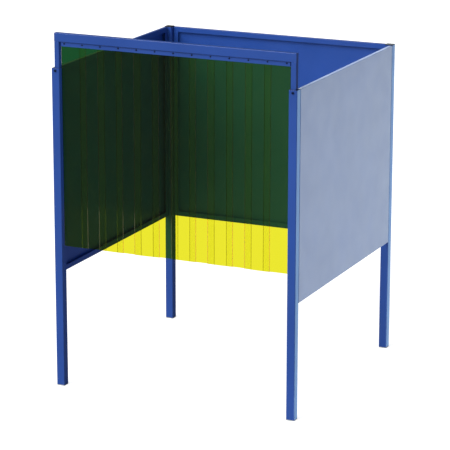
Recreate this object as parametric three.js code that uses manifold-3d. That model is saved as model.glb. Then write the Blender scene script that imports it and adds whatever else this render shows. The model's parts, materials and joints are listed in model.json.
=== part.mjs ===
// Welder's booth: four square posts on plastic feet, three folded sheet walls that leave
// the legs free, and a strip curtain across the open side. The curtain hangs from a portal
// frame whose uprights telescope in the open tops of the two front posts.
//
// Millimetres, +Z up. The origin is on the floor in the middle of the plan, the curtain
// side faces -Y and the right-hand wall is on +X.

import * as THREE from 'three';
import { mergeVertices } from 'three/addons/utils/BufferGeometryUtils.js';
import Module from 'manifold-3d';

const wasm = await Module();
wasm.setup();

// Booth
const BOOTH_SIZE = 1500;
const GAP = 0.3;

// Posts: square tube, standing on the plates of the feet
const POST_SIDE = 50;
const POST_WALL = 3;
const POST_CORNER = 5;
const POST_TOP = 1880;
const FOOT_PLATE = 5;
const PLUG_DEPTH = 25;
const CAP_PLATE = 3;

// Walls: sheet folded into trays, open side inwards
const WALL_BOTTOM = 675;
const WALL_THICKNESS = 22;
const WALL_SHEET = 2;
const WALL_LIP = 30;
const WALL_BOLT_INSET = 150;

// Curtain portal. Its uprights run a little inwards and back of the middle of the front posts.
const UPRIGHT_SIDE = 30;
const UPRIGHT_WALL = 2;
const UPRIGHT_CORNER = 3;
const UPRIGHT_SHIFT_IN = 2.5;
const UPRIGHT_SHIFT_BACK = 4;
const UPRIGHT_BOTTOM = 1480;
const RAIL_HEIGHT = 50;
const RAIL_WALL = 2;
const RAIL_TOP = 2080;
const COLLAR_LENGTH = 40;

// Strip curtain and the two bars that clamp it
const STRIP_COUNT = 12;
const STRIP_PITCH = 113;
const STRIP_WIDTH = 155;
const STRIP_THICKNESS = 2;
const STRIP_BOTTOM = 842;
const LAYER_GAP = 0.6;
const HINGE_DROP = 1.5;
const BAR_THICKNESS = 4;
const BAR_BOTTOM = 2004;
const CLAMP_BAR_HEIGHT = 24;
const CLAMP_SCREW_UP = 16;
const BAR_HALF_LENGTH = 699;

// Fasteners
const BOLT_RADIUS = 4;
const BOLT_HOLE_RADIUS = 4.4;
const BOLT_HEAD_ACROSS = 13;
const BOLT_HEAD_HEIGHT = 5.3;
const BOLT_TIP_BEYOND_POST = 2.5;
const SCREW_RADIUS = 2.4;
const SCREW_HOLE_RADIUS = 2.8;
const SCREW_HEAD_RADIUS = 5;
const SCREW_HEAD_HEIGHT = 2.8;
const SOCKET_ACROSS = 3;
const SOCKET_DEPTH = 1.6;
const LOCK_SCREW_BELOW_TOP = 14;
const ROUND_SEGMENTS = 12;

// Places worked out from the sizes above
const half = BOOTH_SIZE / 2;
const postCentre = half - POST_SIDE / 2;
const postInner = half - POST_SIDE;
const boreSide = POST_SIDE - 2 * POST_WALL;
const boreCorner = POST_CORNER - POST_WALL;
const wallLength = 2 * postInner - 2 * GAP;
const wallCentre = half - WALL_THICKNESS / 2;
const railBottom = RAIL_TOP - RAIL_HEIGHT;
const uprightCentre = postCentre - UPRIGHT_SHIFT_IN;
const portalHalfWidth = uprightCentre + UPRIGHT_SIDE / 2;
const portalPlane = -postCentre + UPRIGHT_SHIFT_BACK;
const stripLayer = (STRIP_THICKNESS + LAYER_GAP) / 2;
const barFace = stripLayer + STRIP_THICKNESS / 2 + GAP;
const hingeHeight = BAR_BOTTOM - HINGE_DROP;
const clampScrewHeight = BAR_BOTTOM + CLAMP_SCREW_UP;
const clampScrewCount = STRIP_COUNT + 1;
const lockScrewHeight = POST_TOP - LOCK_SCREW_BELOW_TOP;

const booth = new THREE.Group();

// Materials

function bluePaint() {
  return new THREE.MeshStandardMaterial({ color: 0x2f55a4, roughness: 0.42, metalness: 0.1 });
}

function yellowVinyl() {
  return new THREE.MeshStandardMaterial({
    color: 0xe6d51e, roughness: 0.25, metalness: 0, transparent: true, opacity: 0.7,
  });
}

function blackPlastic() {
  return new THREE.MeshStandardMaterial({ color: 0x16171a, roughness: 0.6, metalness: 0 });
}

function greyPlastic() {
  return new THREE.MeshStandardMaterial({ color: 0x9a9c98, roughness: 0.65, metalness: 0 });
}

function darkSteel() {
  return new THREE.MeshStandardMaterial({ color: 0x2b2f3a, roughness: 0.4, metalness: 0.8 });
}

// Solids

function toSolid(geometry) {
  const bare = geometry.clone();
  bare.deleteAttribute('normal');
  bare.deleteAttribute('uv');
  const merged = mergeVertices(bare, 1e-4);
  return new wasm.Manifold(new wasm.Mesh({
    numProp: 3,
    vertProperties: new Float32Array(merged.attributes.position.array),
    triVerts: new Uint32Array(merged.index.array),
  }));
}

function toGeometry(solid) {
  const mesh = solid.getMesh();
  const indexed = new THREE.BufferGeometry();
  indexed.setAttribute('position', new THREE.BufferAttribute(mesh.vertProperties, 3));
  indexed.setIndex(new THREE.BufferAttribute(mesh.triVerts, 1));
  const geometry = indexed.toNonIndexed();
  geometry.computeVertexNormals();
  return geometry;
}

function cutFrom(geometry, tools) {
  const solid = tools.reduce((rest, tool) => rest.subtract(toSolid(tool)), toSolid(geometry));
  return toGeometry(solid);
}

function box(x, y, z, centre) {
  return new THREE.BoxGeometry(x, y, z).translate(...centre);
}

// A round bar along Y, from y = start to y = end
function rod(radius, start, end, x, z, segments = ROUND_SEGMENTS) {
  return new THREE.CylinderGeometry(radius, radius, end - start, segments)
    .translate(x, (start + end) / 2, z);
}

function roundedRectangle(width, height, corner, Outline = THREE.Shape) {
  const outline = new Outline();
  const x = width / 2 - corner;
  const y = height / 2 - corner;
  outline.absarc(x, y, corner, 0, Math.PI / 2);
  outline.absarc(-x, y, corner, Math.PI / 2, Math.PI);
  outline.absarc(-x, -y, corner, Math.PI, 1.5 * Math.PI);
  outline.absarc(x, -y, corner, 1.5 * Math.PI, 2 * Math.PI);
  outline.closePath();
  return outline;
}

// An upright prism with rounded corners, from z = bottom to z = top
function prism(width, height, corner, bottom, top, bore) {
  const outline = roundedRectangle(width, height, corner);
  if (bore) {
    outline.holes.push(roundedRectangle(bore.width, bore.height, bore.corner, THREE.Path));
  }
  return new THREE.ExtrudeGeometry(outline, {
    depth: top - bottom, bevelEnabled: false, curveSegments: 4,
  }).translate(0, 0, bottom);
}

function squareTube(side, wall, corner, bottom, top) {
  const inner = side - 2 * wall;
  return prism(side, side, corner, bottom, top, {
    width: inner, height: inner, corner: corner - wall,
  });
}

function addMesh(group, name, geometry, material) {
  const mesh = new THREE.Mesh(geometry, material);
  mesh.name = name;
  group.add(mesh);
  return mesh;
}

// Walls and their bolts. Each wall is drawn on the +X side and turned into place.

const walls = [
  { name: 'right', turn: 0 },
  { name: 'rear', turn: Math.PI / 2 },
  { name: 'left', turn: Math.PI },
];
const wallBoltHeights = [WALL_BOTTOM + WALL_BOLT_INSET, POST_TOP - WALL_BOLT_INSET];
const flangeInside = postInner - GAP - WALL_SHEET;

function wallBoltSites() {
  return [-1, 1].flatMap((end) => wallBoltHeights.map((height) => ({ end, height })));
}

function wallBoltHole(site) {
  const start = flangeInside - 1;
  const end = postInner + POST_WALL + 1;
  return site.end > 0
    ? rod(BOLT_HOLE_RADIUS, start, end, wallCentre, site.height)
    : rod(BOLT_HOLE_RADIUS, -end, -start, wallCentre, site.height);
}

function wallTray() {
  const height = POST_TOP - WALL_BOTTOM;
  const middle = (POST_TOP + WALL_BOTTOM) / 2;
  const outside = box(WALL_THICKNESS, wallLength, height, [wallCentre, 0, middle]);
  const hollow = box(
    WALL_THICKNESS - 2 * WALL_SHEET,
    wallLength - 2 * WALL_SHEET,
    height - 2 * WALL_SHEET,
    [wallCentre, 0, middle],
  );
  const openSide = box(
    2 * WALL_SHEET,
    wallLength - 2 * WALL_LIP,
    height - 2 * WALL_LIP,
    [half - WALL_THICKNESS + WALL_SHEET / 2, 0, middle],
  );
  return cutFrom(outside, [hollow, openSide, ...wallBoltSites().map(wallBoltHole)]);
}

// A hexagon bolt along +Y with the underside of its head at y = 0
function hexBolt(shankLength) {
  const cornerRadius = BOLT_HEAD_ACROSS / 2 / Math.cos(Math.PI / 6);
  const head = rod(cornerRadius, -BOLT_HEAD_HEIGHT, 0, 0, 0, 6);
  const shank = rod(BOLT_RADIUS, -1, shankLength, 0, 0);
  return toGeometry(toSolid(head).add(toSolid(shank)));
}

function addWalls() {
  const tray = wallTray();
  const underHead = flangeInside - GAP;
  const bolt = hexBolt(postInner + POST_WALL + BOLT_TIP_BEYOND_POST - underHead);
  for (const wall of walls) {
    const group = new THREE.Group();
    group.rotation.z = wall.turn;
    booth.add(group);
    addMesh(group, `${wall.name}_wall`, tray.clone(), bluePaint());
    wallBoltSites().forEach((site, index) => {
      const name = `${wall.name}_wall_bolt_${index + 1}`;
      const mesh = addMesh(group, name, bolt.clone(), darkSteel());
      mesh.position.set(wallCentre, site.end * underHead, site.height);
      mesh.rotation.z = site.end > 0 ? 0 : Math.PI;
    });
  }
}

// Posts, feet, caps and collars

const corners = [
  { name: 'front_left', x: -1, y: -1 },
  { name: 'front_right', x: 1, y: -1 },
  { name: 'rear_left', x: -1, y: 1 },
  { name: 'rear_right', x: 1, y: 1 },
];

function wallBoltDrills() {
  return walls.flatMap((wall) => wallBoltSites().map(
    (site) => wallBoltHole(site).rotateZ(wall.turn),
  ));
}

// Passes through the front wall of the post only
function lockScrewDrill(side) {
  return rod(BOLT_HOLE_RADIUS, -half - 1, -postCentre, side * postCentre, lockScrewHeight);
}

function addCorner(corner) {
  const x = corner.x * postCentre;
  const y = corner.y * postCentre;
  const isFront = corner.y < 0;
  const postBottom = FOOT_PLATE + GAP;
  const tube = squareTube(POST_SIDE, POST_WALL, POST_CORNER, postBottom, POST_TOP);
  const lockDrills = isFront ? [lockScrewDrill(corner.x)] : [];
  const post = cutFrom(tube.translate(x, y, 0), [...wallBoltDrills(), ...lockDrills]);
  addMesh(booth, `${corner.name}_post`, post, bluePaint());
  addFoot(corner, x, y);
  if (isFront) {
    addCollar(corner, x, y);
  } else {
    addCap(corner, x, y);
  }
}

function plugWithPlate(plateBottom, plateTop, plugBottom, plugTop) {
  const plate = prism(POST_SIDE, POST_SIDE, POST_CORNER, plateBottom, plateTop);
  const side = boreSide - 2 * GAP;
  const plug = prism(side, side, boreCorner, plugBottom, plugTop);
  return toGeometry(toSolid(plate).add(toSolid(plug)));
}

function addFoot(corner, x, y) {
  const geometry = plugWithPlate(0, FOOT_PLATE, FOOT_PLATE - 1, FOOT_PLATE + PLUG_DEPTH);
  addMesh(booth, `${corner.name}_foot`, geometry, greyPlastic()).position.set(x, y, 0);
}

function addCap(corner, x, y) {
  const bottom = POST_TOP + GAP;
  const geometry = plugWithPlate(bottom, bottom + CAP_PLATE, bottom - PLUG_DEPTH, bottom + 1);
  addMesh(booth, `${corner.name}_cap`, geometry, blackPlastic()).position.set(x, y, 0);
}

// Fills the mouth of the post round the upright
function addCollar(corner, x, y) {
  const outer = boreSide - 2 * GAP;
  const inner = UPRIGHT_SIDE + 2 * GAP;
  const bottom = POST_TOP - COLLAR_LENGTH;
  const sleeve = prism(outer, outer, boreCorner, bottom, POST_TOP).translate(x, y, 0);
  const guide = prism(inner, inner, UPRIGHT_CORNER, bottom - 1, POST_TOP + 1)
    .translate(corner.x * uprightCentre, portalPlane, 0);
  const geometry = cutFrom(sleeve, [guide, lockScrewDrill(corner.x)]);
  addMesh(booth, `${corner.name}_collar`, geometry, blackPlastic());
}

// A hexagon-head screw through the face of a front post, its tip just short of the upright
function addLockScrew(corner) {
  const underHead = half + GAP;
  const tip = -portalPlane + UPRIGHT_SIDE / 2 + GAP;
  const mesh = addMesh(booth, `${corner.name}_lock_screw`, hexBolt(underHead - tip), darkSteel());
  mesh.position.set(corner.x * postCentre, -underHead, lockScrewHeight);
}

// Portal

function addUpright(corner) {
  const tube = squareTube(
    UPRIGHT_SIDE, UPRIGHT_WALL, UPRIGHT_CORNER, UPRIGHT_BOTTOM, railBottom - GAP,
  );
  const mesh = addMesh(booth, `${corner.name}_upright`, tube, bluePaint());
  mesh.position.set(corner.x * uprightCentre, portalPlane, 0);
}

// The rail is closed at both ends and open underneath, over the bores of the uprights
function addRail() {
  const length = 2 * portalHalfWidth;
  const middle = railBottom + RAIL_HEIGHT / 2;
  const bar = prism(RAIL_HEIGHT, UPRIGHT_SIDE, UPRIGHT_CORNER, -length / 2, length / 2)
    .rotateY(Math.PI / 2);
  const bore = box(
    length - 2 * RAIL_WALL, UPRIGHT_SIDE - 2 * RAIL_WALL, RAIL_HEIGHT - 2 * RAIL_WALL, [0, 0, 0],
  );
  const openingSide = UPRIGHT_SIDE - 4 * UPRIGHT_WALL;
  const openings = [-1, 1].map((side) => box(
    openingSide, openingSide, 2 * RAIL_WALL, [side * uprightCentre, 0, -RAIL_HEIGHT / 2],
  ));
  const mesh = addMesh(booth, 'curtain_rail', cutFrom(bar, [bore, ...openings]), bluePaint());
  mesh.position.set(0, portalPlane, middle);
}

function clampScrewPlaces() {
  const first = -(clampScrewCount - 1) / 2;
  return Array.from({ length: clampScrewCount }, (_, index) => (first + index) * STRIP_PITCH);
}

function drilledBar(start, end, bottom, top) {
  const bar = box(
    2 * BAR_HALF_LENGTH, end - start, top - bottom, [0, (start + end) / 2, (bottom + top) / 2],
  );
  const holes = clampScrewPlaces().map(
    (x) => rod(SCREW_HOLE_RADIUS, start - 1, end + 1, x, clampScrewHeight),
  );
  return cutFrom(bar, holes);
}

// The hanger bar is fixed under the rail; the clamp bar presses the strips against it
function addBars() {
  const hanger = drilledBar(barFace, barFace + BAR_THICKNESS, BAR_BOTTOM, railBottom - GAP);
  const clampTop = BAR_BOTTOM + CLAMP_BAR_HEIGHT;
  const clamp = drilledBar(-barFace - BAR_THICKNESS, -barFace, BAR_BOTTOM, clampTop);
  addMesh(booth, 'hanger_bar', hanger, bluePaint()).position.y = portalPlane;
  addMesh(booth, 'clamp_bar', clamp, bluePaint()).position.y = portalPlane;
}

// A button-head screw along +Y with a hexagon socket, the underside of its head at y = 0
function clampScrew(shankLength) {
  const rim = SCREW_HEAD_RADIUS;
  const profile = [
    [0, -SCREW_HEAD_HEIGHT],
    [rim * 0.55, -SCREW_HEAD_HEIGHT],
    [rim * 0.9, -SCREW_HEAD_HEIGHT * 0.6],
    [rim, 0],
    [SCREW_RADIUS, 0],
    [SCREW_RADIUS, shankLength],
    [0, shankLength],
  ].map(([radius, along]) => new THREE.Vector2(radius, along));
  const body = new THREE.LatheGeometry(profile, ROUND_SEGMENTS);
  const socketRadius = SOCKET_ACROSS / 2 / Math.cos(Math.PI / 6);
  const socketStart = -SCREW_HEAD_HEIGHT - 1;
  const socketEnd = SOCKET_DEPTH - SCREW_HEAD_HEIGHT;
  return cutFrom(body, [rod(socketRadius, socketStart, socketEnd, 0, 0, 6)]);
}

function addClampScrews() {
  const grip = 2 * (barFace + BAR_THICKNESS) + GAP;
  const screw = clampScrew(grip + 1);
  clampScrewPlaces().forEach((x, index) => {
    const name = `clamp_screw_${String(index + 1).padStart(2, '0')}`;
    const mesh = addMesh(booth, name, screw.clone(), darkSteel());
    mesh.position.set(x, portalPlane - barFace - BAR_THICKNESS - GAP, clampScrewHeight);
  });
}

// Strips hang alternately in a front and a rear layer, each overlapping its neighbours
function addStrips() {
  const top = hingeHeight;
  for (let index = 0; index < STRIP_COUNT; index += 1) {
    const x = (index - (STRIP_COUNT - 1) / 2) * STRIP_PITCH;
    const layer = index % 2 === 0 ? -stripLayer : stripLayer;
    const name = `curtain_strip_${String(index + 1).padStart(2, '0')}`;
    const geometry = new THREE.BoxGeometry(STRIP_WIDTH, STRIP_THICKNESS, top - STRIP_BOTTOM);
    const mesh = addMesh(booth, name, geometry, yellowVinyl());
    mesh.position.set(x, portalPlane + layer, (top + STRIP_BOTTOM) / 2);
  }
}

corners.forEach(addCorner);
addWalls();
corners.filter((corner) => corner.y < 0).forEach(addLockScrew);
corners.filter((corner) => corner.y < 0).forEach(addUpright);
addRail();
addBars();
addClampScrews();
addStrips();

export default booth;
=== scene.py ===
"""The finished look of the welder's booth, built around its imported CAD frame.

Metres, +Z up, with the curtain side facing -Y.
"""

import json
import math

import bpy
from mathutils import Matrix, Vector, noise

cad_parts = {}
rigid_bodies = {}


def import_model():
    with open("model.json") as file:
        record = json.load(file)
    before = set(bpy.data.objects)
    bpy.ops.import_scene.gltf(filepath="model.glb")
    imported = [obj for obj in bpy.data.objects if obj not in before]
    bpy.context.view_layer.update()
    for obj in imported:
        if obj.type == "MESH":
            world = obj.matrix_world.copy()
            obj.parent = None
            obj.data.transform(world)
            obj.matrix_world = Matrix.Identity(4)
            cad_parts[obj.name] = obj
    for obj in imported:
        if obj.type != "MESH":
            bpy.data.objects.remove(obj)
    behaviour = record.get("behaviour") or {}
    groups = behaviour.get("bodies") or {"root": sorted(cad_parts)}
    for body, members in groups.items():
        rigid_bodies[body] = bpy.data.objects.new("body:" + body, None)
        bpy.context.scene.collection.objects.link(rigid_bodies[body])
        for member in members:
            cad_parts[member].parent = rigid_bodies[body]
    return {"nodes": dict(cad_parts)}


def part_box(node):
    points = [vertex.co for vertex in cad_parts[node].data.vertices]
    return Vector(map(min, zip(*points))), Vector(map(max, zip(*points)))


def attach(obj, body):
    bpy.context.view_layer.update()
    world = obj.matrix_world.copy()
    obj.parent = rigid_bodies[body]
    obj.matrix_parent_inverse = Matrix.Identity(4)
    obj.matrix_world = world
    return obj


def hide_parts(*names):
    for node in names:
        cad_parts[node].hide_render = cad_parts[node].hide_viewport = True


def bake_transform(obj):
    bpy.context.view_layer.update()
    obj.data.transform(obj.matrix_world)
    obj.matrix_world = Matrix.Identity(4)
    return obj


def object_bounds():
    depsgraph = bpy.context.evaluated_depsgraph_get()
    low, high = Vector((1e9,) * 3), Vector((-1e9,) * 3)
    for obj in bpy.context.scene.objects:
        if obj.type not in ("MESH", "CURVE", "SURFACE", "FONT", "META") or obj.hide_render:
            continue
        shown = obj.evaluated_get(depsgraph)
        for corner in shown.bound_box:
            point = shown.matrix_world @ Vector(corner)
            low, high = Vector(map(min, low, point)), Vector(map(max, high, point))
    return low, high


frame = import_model()
cad_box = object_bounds()

MM = 0.001
FRONT_SIDES = ("front_left", "front_right")
REAR_SIDES = ("rear_left", "rear_right")
CORNERS = FRONT_SIDES + REAR_SIDES
WALLS = {"right": 0.0, "rear": math.pi / 2, "left": math.pi}
STRIP_COUNT = 12
SCREW_COUNT = 13

# Metal and plastic sections that the boxes of the nodes don't give
POST_WALL = 3 * MM
POST_CORNER = 5 * MM
UPRIGHT_WALL = 2 * MM
UPRIGHT_CORNER = 3 * MM
SHEET = 2 * MM
SHEET_BEND = 2.6 * MM
WALL_LIP = 30 * MM
BAR_CORNER = 0.9 * MM
CUT_EDGE = 0.5 * MM
FOOT_PLATE = 5 * MM
CAP_PLATE = 3 * MM
PLUG_INSET = 3.3 * MM
GUIDE_PLAY = 0.3 * MM

# Strips. The end strips overhang their solids a little on the outer side, and still clear the posts
STRIP_BOW = 2.4 * MM
EDGE_BAND = 2 * MM
END_OVERHANG = 0.5 * MM

# Fasteners, the radii of their holes, and how far each way from a fastener's middle its hole is cut
HEX_HEAD = 5.3 * MM
HEX_ACROSS = 13 * MM
THREAD_RADIUS = 4 * MM
THREAD_DEPTH = 0.55 * MM
THREAD_PITCH = 1.25 * MM
SOCKET_HEAD = 2.8 * MM
BOLT_HOLE = 4.4 * MM
SCREW_HOLE = 2.8 * MM
SHEET_REACH = 9 * MM
TUBE_REACH = 12 * MM
BAR_REACH = 40 * MM

# Edges sharper than this many degrees stay sharp
SHARP_ANGLE = 35.0

# Colours, linear
PAINT_BLUE = (0.02, 0.076, 0.35)
VINYL_TINT = (0.49, 0.82, 0.075)
SECOND_LAYER_TINT = (0.99, 0.99, 0.7)
VINYL_BODY = (0.62, 0.58, 0.03)
UNSEEN_TINT = (0.94, 0.94, 0.93)
DUSK_BLUE = (0.0125, 0.089, 0.28)


# ---------------------------------------------------------------- mesh helpers


def new_piece(name, points, faces, material, body, matrix=None, sharp=SHARP_ANGLE):
    """A mesh object that is smooth except along edges sharper than `sharp` degrees.

    With a body it rides on that body. Without one, it rides on no body.
    """
    mesh = bpy.data.meshes.new(name)
    mesh.from_pydata([tuple(p) for p in points], [], faces)
    if matrix is not None:
        mesh.transform(matrix)
    mesh.validate()
    mesh.materials.append(material)
    soften(mesh, sharp)
    piece = bpy.data.objects.new(name, mesh)
    bpy.context.scene.collection.objects.link(piece)
    if body is not None:
        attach(piece, body)
    return piece


def soften(mesh, sharp):
    """Smooth shading, except along edges sharper than `sharp` degrees."""
    mesh.polygons.foreach_set("use_smooth", [True] * len(mesh.polygons))
    mesh.set_sharp_from_angle(angle=math.radians(sharp))


def evaluated(piece):
    """A piece's mesh with its modifiers applied. The piece's own modifiers are removed."""
    bpy.context.view_layer.update()
    graph = bpy.context.evaluated_depsgraph_get()
    mesh = bpy.data.meshes.new_from_object(piece.evaluated_get(graph), depsgraph=graph)
    piece.modifiers.clear()
    return mesh


def even_out(piece):
    """Large flat faces keep their own direction, so that only the rounded edges turn the light."""
    modifier = piece.modifiers.new("even", "WEIGHTED_NORMAL")
    modifier.keep_sharp = True
    modifier.weight = 90
    piece.data = evaluated(piece)


def even_out_pieces():
    """Evens out the large pieces, all those without modifiers, the strips among them."""
    endings = ("_tube", "_sheet", "_flat", "_plug", "_guide")
    for piece in list(bpy.context.scene.collection.objects):
        if piece.name.endswith(endings) and not piece.modifiers:
            even_out(piece)


def loft(loops, ring=False):
    """Points and faces of the surface through loops of equal length.

    A ring joins the last loop to the first. Otherwise both ends are closed by a face.
    """
    count = len(loops[0])
    points = [point for loop in loops for point in loop]
    rows = list(range(len(loops)))
    pairs = list(zip(rows, rows[1:]))
    if ring:
        pairs.append((rows[-1], 0))
    faces = []
    for low, high in pairs:
        for i in range(count):
            j = (i + 1) % count
            faces.append((low * count + i, low * count + j, high * count + j, high * count + i))
    if not ring:
        faces.append(tuple(reversed(range(count))))
        faces.append(tuple(rows[-1] * count + i for i in range(count)))
    return points, faces


def rounded_rectangle(width, height, radius, steps=7):
    """Points round a rectangle whose corners are arcs of `steps` segments."""
    points = []
    for quarter, (sx, sy) in enumerate(((1, 1), (-1, 1), (-1, -1), (1, -1))):
        for step in range(steps + 1):
            angle = (quarter + step / steps) * math.pi / 2
            x = sx * (width / 2 - radius) + radius * math.cos(angle)
            y = sy * (height / 2 - radius) + radius * math.sin(angle)
            points.append((x, y))
    return points


def section(width, height, radius):
    """A function that gives the rounded rectangle drawn in by an inset."""
    least = 0.2 * MM
    return lambda inset: rounded_rectangle(
        width - 2 * inset, height - 2 * inset, max(radius - inset, least)
    )


def swept(outline, levels):
    """Loops of an outline function at (inset, height) levels."""
    return [[(x, y, height) for x, y in outline(inset)] for inset, height in levels]


def arc(steps=3):
    """Angles over a quarter turn, from 0 to 90 degrees."""
    return [step / steps * math.pi / 2 for step in range(steps + 1)]


def rim(start, end, height, edge, up):
    """Levels over the end of a wall, from inset start to inset end, with both edges rounded."""
    side = 1 if up else -1
    turn = 1 if end > start else -1
    over = [
        (start + turn * edge * (1 - math.cos(a)), height - side * edge * (1 - math.sin(a)))
        for a in arc()
    ]
    down = [
        (end - turn * edge * (1 - math.sin(a)), height - side * edge * (1 - math.cos(a)))
        for a in arc()
    ]
    return over + down


def tube_levels(wall, low, high, edge):
    """Levels up over the top end of a tube's wall and back under its bottom end."""
    return rim(0, wall, high, edge, True) + rim(wall, 0, low, edge, False)


def foot_of(inset, height, edge):
    """Levels from a flat bottom face, round its edge, onto the side."""
    return [(inset + edge * (1 - math.sin(a)), height + edge * (1 - math.cos(a))) for a in arc()]


def head_of(inset, height, edge):
    """Levels from the side, round the edge, onto a flat top face."""
    return [(inset + edge * (1 - math.cos(a)), height - edge * (1 - math.sin(a))) for a in arc()]


def middle(node):
    """The middle of a node's box."""
    low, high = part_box(node)
    return (low + high) / 2


def span(node):
    """The size of a node's box."""
    low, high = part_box(node)
    return high - low


def in_plan(node):
    """The move from the origin to a node's place in plan, with heights left as they are."""
    return Matrix.Translation((middle(node).x, middle(node).y, 0))


def cutter(holes, along, radius, reach):
    """One mesh of round bars, each centred on a hole and lying along X or Y."""
    points, faces = [], []
    turn = Matrix.Rotation(math.pi / 2, 4, "X" if along == "Y" else "Y")
    half_round = 16
    angles = [i * math.pi / half_round for i in range(2 * half_round)]
    ring = [(math.cos(angle) * radius, math.sin(angle) * radius) for angle in angles]
    for hole in holes:
        loops = [[(x, y, end) for x, y in ring] for end in (-reach, reach)]
        bar_points, bar_faces = loft(loops)
        start = len(points)
        points += [turn @ Vector(p) + hole for p in bar_points]
        faces += [tuple(start + i for i in face) for face in bar_faces]
    mesh = bpy.data.meshes.new("cutter")
    mesh.from_pydata([tuple(p) for p in points], [], faces)
    obj = bpy.data.objects.new("cutter", mesh)
    bpy.context.scene.collection.objects.link(obj)
    return obj


def drill(piece, holes, along, radius, reach):
    """Cuts round holes through a piece and keeps the result as its mesh."""
    if not holes:
        return
    tool = cutter(holes, along, radius, reach)
    modifier = piece.modifiers.new("drill", "BOOLEAN")
    modifier.object = tool
    modifier.operation = "DIFFERENCE"
    modifier.solver = "EXACT"
    piece.data = evaluated(piece)
    soften(piece.data, SHARP_ANGLE)
    bpy.data.objects.remove(tool)


# ---------------------------------------------------------------- materials


class Shading:
    """A material's node tree, with short calls to add and join nodes."""

    def __init__(self, name):
        self.material = bpy.data.materials.new(name)
        self.material.use_nodes = True
        self.tree = self.material.node_tree
        self.tree.nodes.clear()
        self.place = self.add("ShaderNodeTexCoord").outputs["Object"]

    def add(self, kind, **settings):
        node = self.tree.nodes.new(kind)
        for key, value in settings.items():
            setattr(node, key, value)
        return node

    def set(self, socket, value):
        if isinstance(value, bpy.types.NodeSocket):
            self.tree.links.new(value, socket)
        elif isinstance(value, tuple) and len(value) == 3 and socket.type == "RGBA":
            socket.default_value = (*value, 1.0)
        else:
            socket.default_value = value

    def stretched(self, scale):
        mapping = self.add("ShaderNodeMapping")
        self.set(mapping.inputs["Vector"], self.place)
        mapping.inputs["Scale"].default_value = scale
        return mapping.outputs["Vector"]

    def noise(self, scale, detail=2.0, stretch=None):
        node = self.add("ShaderNodeTexNoise")
        self.set(node.inputs["Vector"], self.stretched(stretch) if stretch else self.place)
        node.inputs["Scale"].default_value = scale
        node.inputs["Detail"].default_value = detail
        return node.outputs["Fac"]

    def spread(self, value, low, high, start=0.3, end=0.7):
        """A value between start and end, spread over low to high."""
        node = self.add("ShaderNodeMapRange")
        node.inputs["From Min"].default_value = start
        node.inputs["From Max"].default_value = end
        node.inputs["To Min"].default_value = low
        node.inputs["To Max"].default_value = high
        self.set(node.inputs["Value"], value)
        return node.outputs["Result"]

    def maths(self, operation, first, second=0.0):
        node = self.add("ShaderNodeMath", operation=operation)
        self.set(node.inputs[0], first)
        self.set(node.inputs[1], second)
        return node.outputs[0]

    def mix(self, share, first, second):
        node = self.add("ShaderNodeMix", data_type="RGBA")
        self.set(node.inputs[0], share)
        self.set(node.inputs[6], first)
        self.set(node.inputs[7], second)
        return node.outputs[2]

    def bump(self, height, distance, strength=1.0, normal=None):
        node = self.add("ShaderNodeBump")
        node.inputs["Strength"].default_value = strength
        node.inputs["Distance"].default_value = distance
        self.set(node.inputs["Height"], height)
        if normal is not None:
            self.set(node.inputs["Normal"], normal)
        return node.outputs["Normal"]

    def principled(self, **inputs):
        node = self.add("ShaderNodeBsdfPrincipled")
        for key, value in inputs.items():
            self.set(node.inputs[key.replace("_", " ")], value)
        return node.outputs["BSDF"]

    def finish(self, shader):
        output = self.add("ShaderNodeOutputMaterial")
        self.set(output.inputs["Surface"], shader)
        return self.material

    def height_above_floor(self):
        split = self.add("ShaderNodeSeparateXYZ")
        self.set(split.inputs[0], self.place)
        return split.outputs["Z"]


def scaled(colour, factor):
    return tuple(channel * factor for channel in colour)


def powder_coat(name):
    """Satin blue powder coat: orange peel, slightly uneven colour and gloss, scuffs low down."""
    s = Shading(name)
    cloud = s.noise(3.0, 3.0)
    colour = s.mix(s.spread(cloud, 0, 1), scaled(PAINT_BLUE, 0.93), scaled(PAINT_BLUE, 1.07))
    low_down = s.spread(s.height_above_floor(), 1, 0, 0.02, 0.28)
    scratches = s.spread(s.noise(90.0, 4.0, (1, 1, 0.12)), 0, 1, 0.6, 0.68)
    scuffs = s.maths("MULTIPLY", s.maths("MULTIPLY", low_down, scratches), 0.3)
    colour = s.mix(scuffs, colour, (0.12, 0.17, 0.32))
    gloss = s.spread(s.noise(9.0, 2.0), 0.29, 0.34)
    roughness = s.maths("ADD", gloss, s.maths("MULTIPLY", scuffs, 0.3))
    peel = s.bump(s.noise(420.0, 1.5), 0.03 * MM, 0.3)
    return s.finish(s.principled(Base_Color=colour, Roughness=roughness, Normal=peel, IOR=1.55))


def one_face(layer):
    """The tint of one face of a strip, from the tint of the whole layer."""
    return tuple(math.sqrt(channel) for channel in layer)


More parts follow.
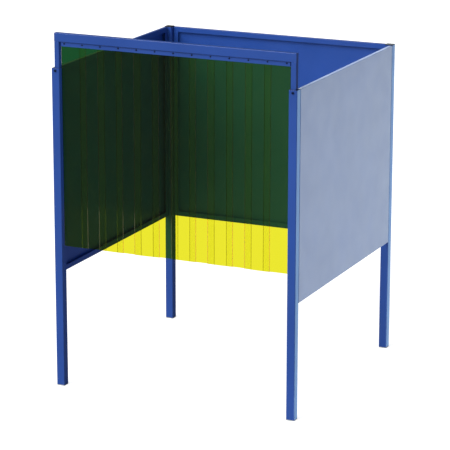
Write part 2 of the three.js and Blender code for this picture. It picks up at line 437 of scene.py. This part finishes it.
def vinyl_surface(s, tint, second_tint, body, haze, roughness, normal):
    """Tinted clear plastic: light goes straight through, and part of it glances off the outside.

    The camera sees `tint` in the first two faces it looks through, which are one strip's, and
    `second_tint` in those behind, so that a second layer darkens less. Other rays pass almost
    untinted.
    """
    clear = s.add("ShaderNodeBsdfTransparent")
    path = s.add("ShaderNodeLightPath").outputs
    behind = s.maths("GREATER_THAN", path["Transparent Depth"], 1.5)
    seen = s.mix(behind, tint, second_tint)
    s.set(clear.inputs["Color"], s.mix(path["Is Camera Ray"], UNSEEN_TINT, seen))
    milky = s.add("ShaderNodeBsdfDiffuse")
    s.set(milky.inputs["Color"], body)
    through = s.add("ShaderNodeMixShader")
    s.set(through.inputs[0], haze)
    s.set(through.inputs[1], clear.outputs[0])
    s.set(through.inputs[2], milky.outputs[0])
    shine = s.add("ShaderNodeBsdfGlossy")
    s.set(shine.inputs["Roughness"], roughness)
    s.set(shine.inputs["Normal"], normal)
    glancing = s.add("ShaderNodeFresnel")
    glancing.inputs["IOR"].default_value = 1.5
    s.set(glancing.inputs["Normal"], normal)
    inside = s.add("ShaderNodeNewGeometry").outputs["Backfacing"]
    outside = s.maths("SUBTRACT", 1.0, inside)
    share = s.maths("MULTIPLY", glancing.outputs[0], outside)
    both = s.add("ShaderNodeMixShader")
    s.set(both.inputs[0], share)
    s.set(both.inputs[1], through.outputs[0])
    s.set(both.inputs[2], shine.outputs[0])
    return both.outputs[0]


def yellow_vinyl():
    """Extruded PVC: faint lines down the length, soft waves, a trace of haze."""
    s = Shading("yellow_vinyl")
    lines = s.bump(s.noise(260.0, 2.0, (1, 1, 0.004)), 0.02 * MM, 0.6)
    normal = s.bump(s.noise(5.0, 1.0, (1, 1, 0.4)), 1.2 * MM, 1.0, lines)
    roughness = s.spread(s.noise(30.0, 3.0), 0.09, 0.17)
    haze = s.spread(s.noise(14.0, 4.0), 0.0005, 0.0025)
    one_side, second_side = one_face(VINYL_TINT), one_face(SECOND_LAYER_TINT)
    return s.finish(vinyl_surface(s, one_side, second_side, VINYL_BODY, haze, roughness, normal))


def vinyl_edge():
    """The cut edge of a strip, seen through much plastic, paler below about 1.05 m with a painted
    sheen of pale milky scatter.
    """
    s = Shading("vinyl_edge")
    normal = s.bump(s.noise(900.0, 2.0, (1, 1, 0.05)), 0.05 * MM, 0.6)
    roughness = s.spread(s.noise(300.0, 2.0), 0.25, 0.45)
    # Painted sheen: the pale milky colour, used below about 1.05 m, stands in for light glancing
    # off the cut edges there
    tint, painted_sheen = (0.7, 0.64, 0.08), (0.6, 0.6, 0.45)
    haze = s.spread(s.height_above_floor(), 0.1, 0.006, 1.05, 1.1)
    return s.finish(vinyl_surface(s, tint, tint, painted_sheen, haze, roughness, normal))


def moulded_plastic(name, colour, lighter):
    """Fine-grained moulded polyethylene with a few paler rubbed marks."""
    s = Shading(name)
    grain = s.noise(1400.0, 2.0)
    marks = s.spread(s.noise(160.0, 5.0), 0, 1, 0.58, 0.72)
    shade = s.mix(marks, colour, lighter)
    roughness = s.spread(grain, 0.48, 0.62)
    normal = s.bump(grain, 0.05 * MM, 0.5)
    return s.finish(s.principled(Base_Color=shade, Roughness=roughness, Normal=normal))


def blackened_steel():
    """Blue-black oxide fasteners: dark metal with slightly brighter rubbed patches."""
    s = Shading("blackened_steel")
    patches = s.spread(s.noise(520.0, 4.0), 0, 1, 0.5, 0.75)
    colour = s.mix(patches, (0.014, 0.024, 0.075), (0.04, 0.055, 0.12))
    roughness = s.spread(s.noise(900.0, 3.0), 0.3, 0.46)
    normal = s.bump(s.noise(1600.0, 2.0), 0.02 * MM, 0.5)
    return s.finish(
        s.principled(Base_Color=colour, Metallic=0.9, Roughness=roughness, Normal=normal)
    )


# ---------------------------------------------------------------- posts and their plastics


def bolts_of(*prefixes):
    """The wall bolts whose names start with one of the prefixes."""
    return [name for name in frame["nodes"] if "bolt" in name and name.startswith(prefixes)]


def near(post, bolts):
    """The bolts whose middle, in plan, is less than a post's width from the post's middle."""
    reach = span(post).x
    return [bolt for bolt in bolts if (middle(bolt) - middle(post)).to_2d().length < reach]


def add_tube(node, wall, corner, paint, body):
    """An upright square tube, open at both ends."""
    low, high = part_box(node)
    size = span(node)
    levels = tube_levels(wall, low.z, high.z, CUT_EDGE)
    points, faces = loft(swept(section(size.x, size.y, corner), levels), ring=True)
    name = f"{node}_tube"
    piece = new_piece(name, points, faces, paint, body, in_plan(node))
    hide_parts(node)
    return piece


def add_posts(paint):
    side_bolts, rear_bolts = bolts_of("left", "right"), bolts_of("rear")
    for corner in CORNERS:
        post = f"{corner}_post"
        piece = add_tube(post, POST_WALL, POST_CORNER, paint, "booth_frame")
        drill(piece, [middle(b) for b in near(post, side_bolts)], "Y", BOLT_HOLE, TUBE_REACH)
        drill(piece, [middle(b) for b in near(post, rear_bolts)], "X", BOLT_HOLE, TUBE_REACH)
        if corner in FRONT_SIDES:
            drill(piece, [middle(f"{corner}_lock_screw")], "Y", BOLT_HOLE, SHEET_REACH)


def add_plug(node, levels, plastic):
    """A square moulding with a post's outline, drawn in by the levels' insets."""
    size = span(node)
    points, faces = loft(swept(section(size.x, size.y, POST_CORNER), levels))
    name = f"{node}_plug"
    piece = new_piece(name, points, faces, plastic, "booth_frame", in_plan(node))
    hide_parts(node)


def add_feet(plastic):
    """A square end plug: a plate with a well-rounded edge under the post and a plug inside it."""
    for corner in CORNERS:
        node = f"{corner}_foot"
        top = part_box(node)[1].z
        levels = foot_of(0, 0, 1.6 * MM) + head_of(0, FOOT_PLATE, 0.4 * MM)
        levels += [(PLUG_INSET, FOOT_PLATE)] + head_of(PLUG_INSET, top, 1 * MM)
        add_plug(node, levels, plastic)


def add_caps(plastic):
    """Closed plugs on the rear posts, very slightly crowned."""
    for corner in REAR_SIDES:
        node = f"{corner}_cap"
        low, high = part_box(node)
        under = high.z - CAP_PLATE
        levels = foot_of(PLUG_INSET, low.z, 1 * MM) + [(PLUG_INSET, under)]
        levels += foot_of(0, under, 0.3 * MM) + head_of(0, high.z, 1.4 * MM)
        levels += [(6 * MM, high.z + 0.25 * MM), (14 * MM, high.z + 0.5 * MM)]
        add_plug(node, levels, plastic)


def add_collars(plastic):
    """A plug in the post with a square hole, off its centre, that guides the upright."""
    for corner in FRONT_SIDES:
        node, upright = f"{corner}_collar", f"{corner}_upright"
        low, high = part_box(node)
        outside = section(high.x - low.x, high.y - low.y, POST_CORNER - POST_WALL)
        bore = span(upright).to_2d() + Vector((2 * GUIDE_PLAY, 2 * GUIDE_PLAY))
        shift = middle(upright) - middle(node)
        going_up = foot_of(0, low.z, CUT_EDGE) + head_of(0, high.z, 1 * MM)
        going_down = [(-inset, z) for inset, z in reversed(going_up)]
        loops = swept(outside, going_up)
        for loop in swept(section(bore.x, bore.y, UPRIGHT_CORNER), going_down):
            loops.append([(x + shift.x, y + shift.y, z) for x, y, z in loop])
        points, faces = loft(loops, ring=True)
        name, place = f"{node}_guide", in_plan(node)
        piece = new_piece(name, points, faces, plastic, "booth_frame", place)
        drill(piece, [middle(f"{corner}_lock_screw")], "Y", BOLT_HOLE, TUBE_REACH)
        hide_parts(node)


# ---------------------------------------------------------------- sheet walls


def tray_profile(thickness):
    """(inset, depth) of the folded sheet: outer face, flange, lip and back to the inner face."""
    bend, inner = SHEET_BEND, SHEET_BEND - SHEET
    edge, lip, under = CUT_EDGE, WALL_LIP, thickness - SHEET
    levels = [(bend * (1 - math.sin(a)), bend * (1 - math.cos(a))) for a in arc(5)]
    levels += [(bend * (1 - math.cos(a)), thickness - bend * (1 - math.sin(a))) for a in arc(5)]
    for a in arc():
        levels.append((lip - edge * (1 - math.sin(a)), thickness - edge * (1 - math.cos(a))))
    for a in arc():
        levels.append((lip - edge * (1 - math.cos(a)), under + edge * (1 - math.sin(a))))
    levels += [(bend - inner * math.sin(a), thickness - bend + inner * math.cos(a)) for a in arc(4)]
    levels += [(bend - inner * math.cos(a), bend - inner * math.sin(a)) for a in arc(4)]
    return levels


def panel_ripple(u, v, seed):
    """How far a large sheet stands out of flat: nothing at its edges, under 1 mm in the middle."""
    free = math.sin(math.pi * u) * math.sin(math.pi * v)
    return 0.9 * MM * free * noise.noise(Vector((u * 2.3, v * 2.0, seed)))


def tray(length, height, thickness, seed):
    """Points and faces of a folded sheet wall in the YZ plane, its outer face at x = 0."""
    across, up = 28, 24
    profile = tray_profile(thickness)
    points, faces = [], []

    def boundary():
        path = [(i, 0) for i in range(across)] + [(across, j) for j in range(up)]
        path += [(i, up) for i in range(across, 0, -1)] + [(0, j) for j in range(up, 0, -1)]
        return path

    def corner_point(i, j, inset, depth):
        y = (i / across - 0.5) * (length - 2 * inset)
        z = (j / up - 0.5) * (height - 2 * inset)
        return (-depth, y, z)

    path = boundary()
    count = len(path)
    for inset, depth in profile:
        points += [corner_point(i, j, inset, depth) for i, j in path]
    for row in range(len(profile) - 1):
        for k in range(count):
            a, b = row * count + k, row * count + (k + 1) % count
            faces.append((a, a + count, b + count, b))

    def skin(row, flip):
        inset, depth = profile[row]
        index = {cell: row * count + k for k, cell in enumerate(path)}
        for i in range(1, across):
            for j in range(1, up):
                x, y, z = corner_point(i, j, inset, depth)
                index[i, j] = len(points)
                points.append((x + panel_ripple(i / across, j / up, seed), y, z))
        for i in range(across):
            for j in range(up):
                face = (index[i, j], index[i + 1, j], index[i + 1, j + 1], index[i, j + 1])
                faces.append(face[::-1] if flip else face)

    skin(0, False)
    skin(len(profile) - 1, True)
    return points, faces


def add_walls(paint):
    for index, (side, turn) in enumerate(WALLS.items()):
        node = f"{side}_wall"
        size = span(node)
        length, thickness = max(size.x, size.y), min(size.x, size.y)
        points, faces = tray(length, size.z, thickness, 5.3 * (index + 1))
        outer = max(abs(c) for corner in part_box(node) for c in (corner.x, corner.y))
        place = Matrix.Rotation(turn, 4, "Z") @ Matrix.Translation((outer, 0, middle(node).z))
        name = f"{node}_sheet"
        piece = new_piece(name, points, faces, paint, "booth_frame", place)
        along = "X" if side == "rear" else "Y"
        drill(piece, [middle(bolt) for bolt in bolts_of(side)], along, BOLT_HOLE, SHEET_REACH)
        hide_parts(node)


# ---------------------------------------------------------------- fasteners


def circle(radius, points):
    """The same radius in every direction."""
    return [radius] * points


def hexagon(across, points, limit=1.0):
    """Radii round a hexagon, cut back to a circle of `limit` times its corner radius."""
    sixth = math.pi / 3
    cap = across / math.sqrt(3) * limit
    radii = []
    for i in range(points):
        angle = i * 2 * math.pi / points
        radii.append(min(across / 2 / math.cos((angle + sixth / 2) % sixth - sixth / 2), cap))
    return radii


def turned(stations):
    """Loops from (radii, place along the axis) stations."""
    loops = []
    for radii, along in stations:
        step = 2 * math.pi / len(radii)
        loops.append(
            [(r * math.cos(i * step), r * math.sin(i * step), along) for i, r in enumerate(radii)]
        )
    return loops


def thread(radius, start, end, pitch, points):
    """Stations of a screw thread: the radius falls and rises once for each turn and each pitch."""
    stations = []
    rows = int((end - start) / pitch * 8)
    for row in range(rows + 1):
        along = start + (end - start) * row / rows
        fade = min(1.0, (along - start) / pitch, (end - along) / pitch)
        radii = []
        for i in range(points):
            phase = (along / pitch - i / points) % 1.0
            radii.append(radius - THREAD_DEPTH * abs(2 * phase - 1) * fade)
        stations.append((radii, along))
    return stations


def hex_bolt(across, head, length, points=48):
    """A hexagon bolt along +Z, the underside of its head at z = 0."""
    stations = [
        (circle(across * 0.44, points), -head),
        (hexagon(across, points, 0.84), -head + 0.06 * MM),
        (hexagon(across, points, 0.93), -head + 0.45 * MM),
        (hexagon(across, points), -head + 0.95 * MM),
        (hexagon(across, points), -0.45 * MM),
        (circle(across * 0.46, points), -0.4 * MM),
        (circle(across * 0.455, points), 0),
    ]
    crest, tip = THREAD_RADIUS - 0.05 * MM, THREAD_RADIUS - 0.8 * MM
    stations += thread(crest, 0, length - 0.6 * MM, THREAD_PITCH, points)
    stations.append((circle(tip, points), length))
    return loft(turned(stations))


def socket_screw(rim_radius, head, length, points=36):
    """A button-head screw along +Z with a hexagon socket, the underside of its head at z = 0."""
    socket, shank, crown_start = 3 * MM, 2.4 * MM, 2.2 * MM
    stations = [
        (hexagon(socket, points), -head + 1.6 * MM),
        (hexagon(socket, points), -head + 0.25 * MM),
        (hexagon(socket * 1.12, points), -head),
    ]
    for k in range(6):
        angle = k / 5 * math.pi / 2 * 0.93
        crown = crown_start + (rim_radius - crown_start) * math.sin(angle)
        stations.append((circle(crown, points), -0.35 * MM - (head - 0.35 * MM) * math.cos(angle)))
    stations += [
        (circle(rim_radius, points), -0.12 * MM),
        (circle(rim_radius - 0.15 * MM, points), 0),
        (circle(shank, points), 0),
        (circle(shank, points), length - 0.5 * MM),
        (circle(shank - 0.5 * MM, points), length),
    ]
    return loft(turned(stations))


# Turns a fastener that lies along +Z to point along +Y, into the booth
INTO_BOOTH = Matrix.Rotation(-math.pi / 2, 4, "X")


def add_lock_screws(steel):
    for corner in FRONT_SIDES:
        node = f"{corner}_lock_screw"
        low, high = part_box(node)
        points, faces = hex_bolt(high.x - low.x, HEX_HEAD, high.y - low.y - HEX_HEAD)
        place = Matrix.Translation((middle(node).x, low.y + HEX_HEAD, middle(node).z)) @ INTO_BOOTH
        piece = new_piece(f"{node}_bolt", points, faces, steel, node, place)
        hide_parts(node)


def add_wall_bolts(steel):
    """Bolts along the walls, through their end flanges and into the posts."""
    for side in WALLS:
        for node in bolts_of(side):
            low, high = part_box(node)
            centre = middle(node)
            along_x = side == "rear"
            outwards = math.copysign(1, centre.x if along_x else centre.y)
            length = high.x - low.x if along_x else high.y - low.y
            axis = Vector((outwards, 0, 0)) if along_x else Vector((0, outwards, 0))
            start = centre - axis * (length / 2 - HEX_HEAD)
            turn = axis.to_track_quat("Z", "Y").to_matrix().to_4x4()
            place = Matrix.Translation(start) @ turn
            points, faces = hex_bolt(HEX_ACROSS, HEX_HEAD, length - HEX_HEAD, 24)
            name = f"{node}_bolt"
            piece = new_piece(name, points, faces, steel, "booth_frame", place)
            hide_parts(node)


def add_clamp_screws(steel):
    """Each screw is turned a little further than the last, so that their sockets don't line up."""
    turn_each = 0.37
    for index in range(SCREW_COUNT):
        node = f"clamp_screw_{index + 1:02d}"
        low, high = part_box(node)
        length = high.y - low.y - SOCKET_HEAD
        points, faces = socket_screw((high.x - low.x) / 2, SOCKET_HEAD, length)
        seat = Matrix.Translation((middle(node).x, low.y + SOCKET_HEAD, middle(node).z))
        place = seat @ INTO_BOOTH @ Matrix.Rotation(turn_each * index, 4, "Z")
        name = f"{node}_head"
        piece = new_piece(name, points, faces, steel, "curtain_frame", place)
        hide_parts(node)


# ---------------------------------------------------------------- portal


def add_rail(paint):
    """The top rail: a rectangular tube with its ends welded shut and dressed round."""
    node = "curtain_rail"
    low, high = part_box(node)
    size = high - low
    half = size.x / 2
    levels = foot_of(0, -half, 1.2 * MM) + head_of(0, half, 1.2 * MM)
    points, faces = loft(swept(section(size.z, size.y, UPRIGHT_CORNER), levels))
    place = Matrix.Translation(middle(node)) @ Matrix.Rotation(math.pi / 2, 4, "Y")
    piece = new_piece(f"{node}_tube", points, faces, paint, "curtain_frame", place)
    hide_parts(node)


def add_bars(paint):
    """The two flat bars that clamp the strips, drilled for the clamp screws."""
    screws = [middle(f"clamp_screw_{index + 1:02d}") for index in range(SCREW_COUNT)]
    for node in ("hanger_bar", "clamp_bar"):
        size = span(node)
        half = size.x / 2
        levels = foot_of(0, -half, CUT_EDGE) + head_of(0, half, CUT_EDGE)
        points, faces = loft(swept(section(size.z, size.y, BAR_CORNER), levels))
        place = Matrix.Translation(middle(node)) @ Matrix.Rotation(math.pi / 2, 4, "Y")
        name = f"{node}_flat"
        piece = new_piece(name, points, faces, paint, "curtain_frame", place)
        drill(piece, screws, "Y", SCREW_HOLE, BAR_REACH)
        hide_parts(node)


def bead(path, radius, closed):
    """A weld bead along a path: a round section whose size ripples."""
    sides = 10
    loops = []
    count = len(path)
    for k, point in enumerate(path):
        before = path[(k - 1) % count] if closed or k else path[k]
        after = path[(k + 1) % count] if closed or k < count - 1 else path[k]
        forward = (after - before).normalized()
        across = forward.cross(Vector((0, 0, 1))).normalized()
        up = across.cross(forward)
        swell = radius * (1 + 0.1 * math.sin(k * 2.1))
        if not closed:
            swell *= math.sqrt(max(0.12, math.sin(math.pi * (k + 0.5) / count)))
        turns = [i * (2 * math.pi / sides) for i in range(sides)]
        loops.append(
            [point + swell * (across * math.cos(turn) + up * math.sin(turn)) for turn in turns]
        )
    return loft(loops, ring=closed)


def add_welds(paint):
    """Welds round the tops of the uprights, and stitches from the rail to the hanger bar."""
    rail_low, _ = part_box("curtain_rail")
    for corner in FRONT_SIDES:
        centre, size = middle(f"{corner}_upright"), span(f"{corner}_upright")
        outline = rounded_rectangle(size.x - 1.2 * MM, size.y - 1.2 * MM, UPRIGHT_CORNER, 12)
        path = [Vector((centre.x + x, centre.y + y, rail_low.z - 0.2 * MM)) for x, y in outline]
        points, faces = bead(path, 0.85 * MM, True)
        new_piece(f"{corner}_rail_weld", points, faces, paint, "curtain_frame")
    low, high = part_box("hanger_bar")
    stitches, reach, step = 7, 22 * MM, 1.1 * MM
    y, z = high.y + 0.6 * MM, rail_low.z - 0.7 * MM
    for index in range(stitches):
        x = low.x + (high.x - low.x) * (index + 0.5) / stitches
        path = [Vector((x - reach + step * k, y, z)) for k in range(41)]
        points, faces = bead(path, 2 * MM, False)
        new_piece(f"hanger_weld_{index + 1}", points, faces, paint, "curtain_frame")


# ---------------------------------------------------------------- strip curtain


def curtain_wave(x, drop):
    """How far the curtain stands out of its plane at x, a drop below the clamp.

    It is the same for both layers: nothing at the clamp, and more lower down.
    """
    slack = min(1.0, drop / 0.9) ** 1.3
    long_wave = 3.2 * MM * math.sin(x * 7.1 + 0.8)
    short_wave = 1.8 * MM * math.sin(x * 15.7 + drop * 1.7)
    return slack * (long_wave + short_wave)


def strip_mesh(width, thickness, top, bottom, centre_x, layer_y, bow):
    """A strip with rounded edges that bows gently out of its layer, on a grid fine enough to bend.

    Returns points, faces and the positions of the faces that belong to the cut edges.
    """
    across, down, edge_steps = 16, 56, 4
    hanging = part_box("clamp_bar")[0].z
    half = thickness / 2
    flat = width / 2 - half
    inner = flat - EDGE_BAND
    face = [-flat] + [inner * (2 * i / (across - 2) - 1) for i in range(across - 1)] + [flat]

    def cross_section():
        points = [(u, -half) for u in face]
        for i in range(1, edge_steps):
            angle = -math.pi / 2 + math.pi * i / edge_steps
            points.append((width / 2 - half + half * math.cos(angle), half * math.sin(angle)))
        points += [(-u, half) for u in face]
        for i in range(1, edge_steps):
            angle = math.pi / 2 + math.pi * i / edge_steps
            points.append((-width / 2 + half + half * math.cos(angle), half * math.sin(angle)))
        return points

    outline = cross_section()
    clamped = [top, (top + hanging) / 2]
    heights = clamped + [
        hanging + (bottom - hanging) * (j / down) ** 1.15 for j in range(down + 1)
    ]
    loops = []
    for z in reversed(heights):
        drop = max(0.0, hanging - z)
        slack = min(1.0, drop / 0.35)
        loop = []
        for u, v in outline:
            share = 1 - (2 * u / width) ** 2
            y = layer_y + v + bow * slack * share + curtain_wave(centre_x + u, drop)
            loop.append((centre_x + u, y, z))
        loops.append(loop)
    points, faces = loft(loops)
    back = across + edge_steps
    edge_columns = {0, *range(across - 1, back + 1), *range(back + across - 1, len(outline))}
    sides, ends = range(len(faces) - 2), [len(faces) - 2, len(faces) - 1]
    edges = [position for position in sides if position % len(outline) in edge_columns]
    return points, faces, edges + ends


def add_strips(vinyl, edge_vinyl):
    """Strips that rise between the bars. The front layer bows forwards and the rear layer back."""
    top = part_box("clamp_bar")[1].z - 0.5 * MM
    for index in range(STRIP_COUNT):
        node = f"curtain_strip_{index + 1:02d}"
        low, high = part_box(node)
        centre = middle(node)
        bow = -STRIP_BOW if index % 2 == 0 else STRIP_BOW
        outwards = {0: -1, STRIP_COUNT - 1: 1}.get(index, 0)
        width = high.x - low.x + abs(outwards) * END_OVERHANG
        across = centre.x + outwards * END_OVERHANG / 2
        points, faces, edges = strip_mesh(
            width, high.y - low.y, top, low.z, across, centre.y, bow
        )
        piece = new_piece(f"{node}_sheet", points, faces, vinyl, None, sharp=80.0)
        piece.data.materials.append(edge_vinyl)
        for face in edges:
            piece.data.polygons[face].material_index = 1
        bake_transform(piece)
        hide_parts(node)


# ---------------------------------------------------------------- stage, lights and camera

FLOOR_GLOW = 0.78
FLOOR_GREY = (0.6, 0.6, 0.6)
REFLECTED_FLOOR = 0.2
FLOOR_THROUGH_VINYL = (1.78, 1.02, 0.375)
CAMERA_AZIMUTH = 24.5
CAMERA_ELEVATION = 15.0
CAMERA_ROLL = 0.1
CAMERA_DISTANCE = 13.62
CAMERA_LENS = 186.2
AIM_FROM_CENTRE = (0.024, -0.086, -0.148)


def direction(azimuth, elevation):
    """The unit vector from the object towards azimuth and elevation in degrees.

    Azimuth 0 is -Y and 90 is +X.
    """
    a, e = math.radians(azimuth), math.radians(elevation)
    return Vector((math.sin(a) * math.cos(e), -math.cos(a) * math.cos(e), math.sin(e)))


def add_floor():
    """A wide pale floor: almost shadowless to the eye and dim in reflections.

    Seen through the curtain it has colours of its own: yellow, and dusk blue far behind the booth.
    """
    half = 60.0
    mesh = bpy.data.meshes.new("floor")
    corners = [(-half, -half, 0), (half, -half, 0), (half, half, 0), (-half, half, 0)]
    mesh.from_pydata(corners, [], [(0, 1, 2, 3)])
    s = Shading("pale_floor")
    path = s.add("ShaderNodeLightPath").outputs
    split = s.add("ShaderNodeSeparateXYZ")
    s.set(split.inputs[0], s.place)
    far_behind = s.spread(split.outputs["Y"], 0, 1, 4.5, 6.5)
    past_vinyl = s.maths("GREATER_THAN", path["Transparent Depth"], 0.5)
    through_vinyl = s.maths("MULTIPLY", past_vinyl, path["Is Camera Ray"])
    glow = s.add("ShaderNodeEmission")
    open_glow = (FLOOR_GLOW, FLOOR_GLOW, FLOOR_GLOW)
    filtered_glow = s.mix(far_behind, FLOOR_THROUGH_VINYL, DUSK_BLUE)
    s.set(glow.inputs["Color"], s.mix(through_vinyl, open_glow, filtered_glow))
    s.set(glow.inputs["Strength"], path["Is Camera Ray"])
    matt = s.add("ShaderNodeBsdfDiffuse")
    open_matt = s.mix(path["Is Glossy Ray"], FLOOR_GREY, scaled(FLOOR_GREY, REFLECTED_FLOOR))
    s.set(matt.inputs["Color"], s.mix(through_vinyl, open_matt, (0, 0, 0)))
    both = s.add("ShaderNodeAddShader")
    s.set(both.inputs[0], glow.outputs[0])
    s.set(both.inputs[1], matt.outputs[0])
    mesh.materials.append(s.finish(both.outputs[0]))
    floor = bpy.data.objects.new("floor", mesh)
    bpy.context.scene.collection.objects.link(floor)


def add_world(strength, low_behind, right_share):
    """White studio light, weaker from the right, and from low behind the booth in reflections.

    The camera itself sees plain white.
    """
    world = bpy.data.worlds.new("studio")
    world.use_nodes = True
    tree = world.node_tree
    tree.nodes.clear()

    def ranged(value, from_min, from_max, to_min, to_max):
        node = tree.nodes.new("ShaderNodeMapRange")
        node.inputs["From Min"].default_value = from_min
        node.inputs["From Max"].default_value = from_max
        node.inputs["To Min"].default_value = to_min
        node.inputs["To Max"].default_value = to_max
        tree.links.new(value, node.inputs["Value"])
        return node.outputs["Result"]

    def product(first, second):
        node = tree.nodes.new("ShaderNodeMath")
        node.operation = "MULTIPLY"
        tree.links.new(first, node.inputs[0])
        tree.links.new(second, node.inputs[1])
        return node.outputs[0]

    path = tree.nodes.new("ShaderNodeLightPath").outputs
    towards = tree.nodes.new("ShaderNodeSeparateXYZ")
    tree.links.new(tree.nodes.new("ShaderNodeTexCoord").outputs["Generated"], towards.inputs[0])
    behind = ranged(towards.outputs["Y"], 0.1, 0.5, 0.0, 1.0)
    low = ranged(towards.outputs["Z"], 0.75, 0.45, 0.0, 1.0)
    dim = product(product(behind, low), path["Is Glossy Ray"])
    from_right = ranged(towards.outputs["X"], 0.0, 0.6, 1.0, right_share)
    lit = product(ranged(dim, 0.0, 1.0, strength, low_behind), from_right)
    level = tree.nodes.new("ShaderNodeMix")
    tree.links.new(path["Is Camera Ray"], level.inputs[0])
    tree.links.new(lit, level.inputs[2])
    level.inputs[3].default_value = 1.0
    background = tree.nodes.new("ShaderNodeBackground")
    background.inputs["Color"].default_value = (1, 1, 1, 1)
    tree.links.new(level.outputs[0], background.inputs["Strength"])
    output = tree.nodes.new("ShaderNodeOutputWorld")
    tree.links.new(background.outputs[0], output.inputs["Surface"])
    bpy.context.scene.world = world


def add_sun(name, azimuth, elevation, strength, softness):
    """A sun from azimuth and elevation in degrees. Softness is its apparent size in degrees."""
    lamp = bpy.data.lights.new(name, "SUN")
    lamp.energy = strength
    lamp.angle = math.radians(softness)
    obj = bpy.data.objects.new(name, lamp)
    obj.rotation_mode = "QUATERNION"
    obj.rotation_quaternion = direction(azimuth, elevation).to_track_quat("Z", "Y")
    bpy.context.scene.collection.objects.link(obj)


def add_panel(name, place, towards, size, power, colour, pieces):
    """A soft light panel for the given pieces alone, unseen by the camera."""
    lamp = bpy.data.lights.new(name, "AREA")
    lamp.shape = "RECTANGLE"
    lamp.size, lamp.size_y = size
    lamp.energy = power
    lamp.color = colour
    obj = bpy.data.objects.new(name, lamp)
    obj.location = place
    obj.rotation_mode = "QUATERNION"
    obj.rotation_quaternion = (-Vector(towards)).to_track_quat("Z", "Y")
    obj.visible_camera = False
    bpy.context.scene.collection.objects.link(obj)
    receivers = bpy.data.collections.new(f"{name}_receivers")
    for piece in pieces:
        receivers.objects.link(bpy.data.objects[piece])
    obj.light_linking.receiver_collection = receivers
    return obj


def add_sheen(name, place, towards, size, power, colour, pieces):
    """A panel that shows only as a reflection in the given pieces."""
    panel = add_panel(name, place, towards, size, power, colour, pieces)
    panel.visible_diffuse = False
    panel.visible_transmission = False


def add_camera():
    """The camera at the photograph's viewing angle."""
    low, high = cad_box
    aim = (low + high) / 2 + Vector(AIM_FROM_CENTRE)
    back = direction(CAMERA_AZIMUTH, CAMERA_ELEVATION)
    lens = bpy.data.cameras.new("camera")
    lens.lens = CAMERA_LENS
    lens.clip_end = 200.0
    camera = bpy.data.objects.new("camera", lens)
    camera.location = aim + back * CAMERA_DISTANCE
    roll = Matrix.Rotation(math.radians(CAMERA_ROLL), 4, "Z")
    camera.rotation_mode = "QUATERNION"
    camera.rotation_quaternion = back.to_track_quat("Z", "Y") @ roll.to_quaternion()
    bpy.context.scene.collection.objects.link(camera)
    bpy.context.scene.camera = camera


def light_the_stage():
    """Studio light, with sheen panels that make the right side as pale as the photograph's."""
    add_world(strength=0.5, low_behind=0.06, right_share=0.42)
    add_sun("key", azimuth=-30, elevation=38, strength=2.55, softness=45)
    up, forwards, backwards = (0, 0, 1), (0, -1, 0), (0, 1, 0)
    low_right, sheet_size = (5.3, 6.5, 0.004), (9.1, 15.0)
    high_behind, board_size = (1.0, 12.0, 4.2), (12.0, 6.0)
    inside_corner, lamp_size = (0.5, -0.45, 1.1), (0.4, 0.8)
    wall_tone, post_tone, top_tone = (0.87, 1.0, 1.1), (0.6, 0.98, 1.4), (0.85, 1.0, 1.15)
    wall = ["right_wall_sheet"]
    posts = ["front_right_post_tube", "front_right_foot_plug"]
    posts += ["rear_right_post_tube", "rear_right_foot_plug"]
    top = ["right_wall_sheet", "rear_right_post_tube", "rear_right_cap_plug"]
    add_sheen("wall_sheen", low_right, up, sheet_size, 985.0, wall_tone, wall)
    add_sheen("post_sheen", low_right, up, sheet_size, 860.0, post_tone, posts)
    add_sheen("top_sheen", high_behind, forwards, board_size, 520.0, top_tone, top)
    rear = ["rear_wall_sheet"]
    inside = add_panel("inside_right", inside_corner, backwards, lamp_size, 4.5, (1, 1, 1), rear)
    inside.visible_glossy = False
    scene = bpy.context.scene
    scene.view_settings.view_transform = "Standard"
    scene.view_settings.look = "None"
    scene.cycles.transparent_max_bounces = 32


# ---------------------------------------------------------------- the object

paint = powder_coat("blue_powder_coat")
black = moulded_plastic("black_polyethylene", (0.012, 0.012, 0.014), (0.03, 0.03, 0.033))
grey = moulded_plastic("grey_polyethylene", (0.42, 0.44, 0.44), (0.55, 0.56, 0.56))
dark_steel = blackened_steel()

add_posts(paint)
add_feet(grey)
add_caps(black)
add_collars(black)
add_walls(paint)
add_wall_bolts(dark_steel)
add_lock_screws(dark_steel)
for side in FRONT_SIDES:
    add_tube(f"{side}_upright", UPRIGHT_WALL, UPRIGHT_CORNER, paint, "curtain_frame")
add_rail(paint)
add_bars(paint)
add_welds(paint)
add_clamp_screws(dark_steel)
add_strips(yellow_vinyl(), vinyl_edge())
even_out_pieces()

add_floor()
add_camera()
light_the_stage()
